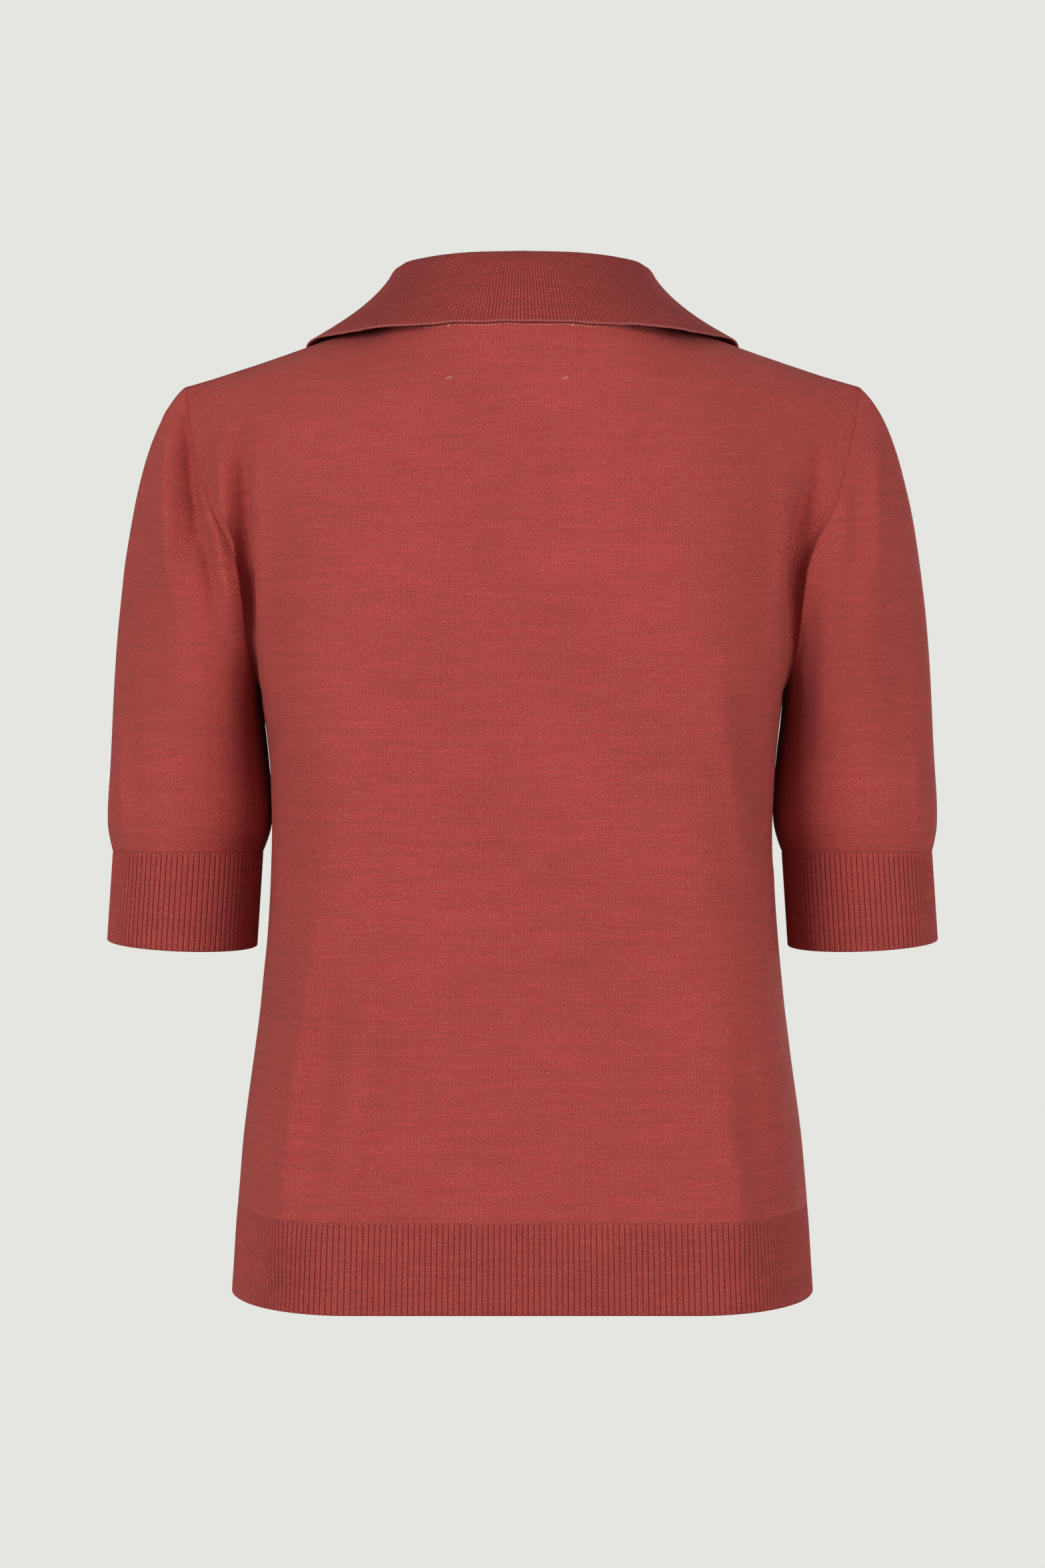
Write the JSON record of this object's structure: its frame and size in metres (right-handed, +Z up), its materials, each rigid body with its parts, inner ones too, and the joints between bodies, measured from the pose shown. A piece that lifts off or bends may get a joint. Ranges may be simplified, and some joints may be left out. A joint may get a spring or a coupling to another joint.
{
  "type": "sweater",
  "caption": "Short-sleeved polo sweater in fine knit, in worn shape, with ribbed hem, cuffs and fold-over open collar.",
  "frame": {"origin": "midway between the two high shoulder points, where the neckline meets the shoulder seams", "axes": "+Z up, +Y towards the front of the sweater, +X towards the wearer's right side"},
  "size_m": [0.4592, 0.2335, 0.5617],
  "materials": {
    "jersey": "matte brick-red heather fine jersey knit",
    "rib": "matte brick-red heather rib knit",
    "stitching": "pale pink linking and tacking thread"
  },
  "bodies": {
    "root": {"back": "jersey", "front": "jersey", "hem_rib_back": "rib", "hem_rib_front": "rib", "sleeve_right": "jersey", "sleeve_left": "jersey", "cuff_right": "rib", "cuff_left": "rib", "collar": "rib"}
  },
  "joints": []
}
